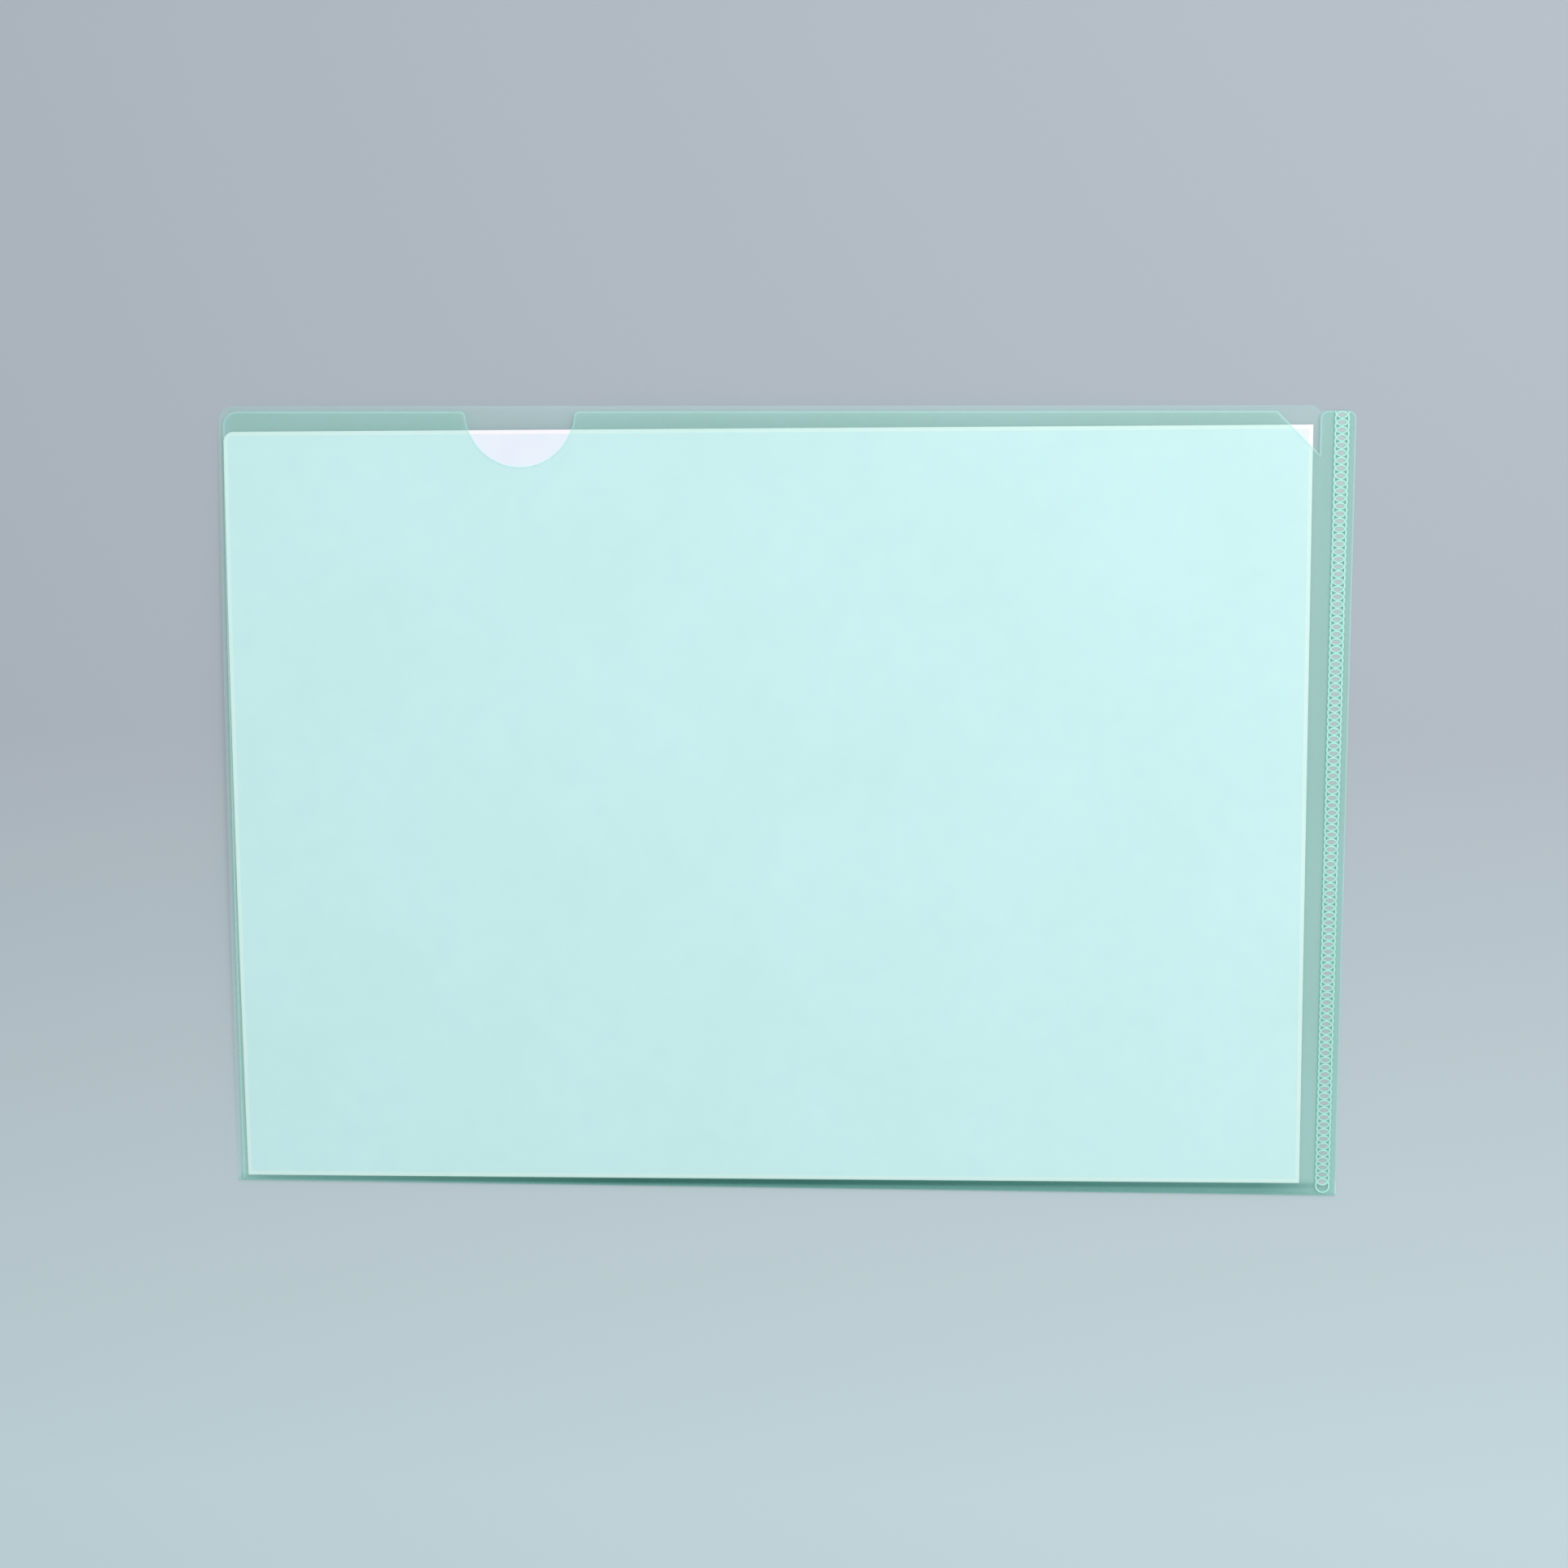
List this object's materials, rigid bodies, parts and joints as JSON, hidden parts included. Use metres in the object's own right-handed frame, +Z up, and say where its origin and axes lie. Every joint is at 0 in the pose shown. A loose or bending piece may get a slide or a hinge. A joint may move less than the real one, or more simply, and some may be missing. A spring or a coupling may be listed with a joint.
{
  "type": "l-shaped document folder",
  "caption": "Thin translucent film folder, folded along a long edge and welded along a short edge, with open edges, a thumb notch, a corner that lifts and a removable paper sheet.",
  "frame": {"origin": "on the table under the back leaf, at the middle of the folder's width and height", "axes": "+X along the fold towards the welded short edge, +Y from the fold to the long open edge, +Z up from the back leaf to the front leaf"},
  "size_m": [0.31, 0.2186, 0.0011],
  "materials": {
    "back_film": "satin translucent mint film",
    "front_film": "satin translucent mint film",
    "fold_film": "creased translucent mint film",
    "weld_film": "fused mint film",
    "paper": "smooth white uncoated"
  },
  "bodies": {
    "folder": {"back_cover": "back_film", "front_cover": "front_film", "spine_fold": "fold_film", "weld_seam": "weld_film"},
    "flap": {"front_flap": "front_film"},
    "sheet": {"paper_sheet": "paper"}
  },
  "joints": [
    {"name": "flap_bend", "type": "hinge", "parent": "folder", "child": "flap", "pos_m": [-0.1535, -0.10445, 0.001], "axis": [0.8301, 0.5577, 0], "range_deg": [0, 60], "stiffness_Nm_per_rad": 0.0067},
    {"name": "sheet_slide", "type": "slide", "parent": "folder", "child": "sheet", "axis": [0, 1, 0], "range_m": [0, 0.22]}
  ]
}
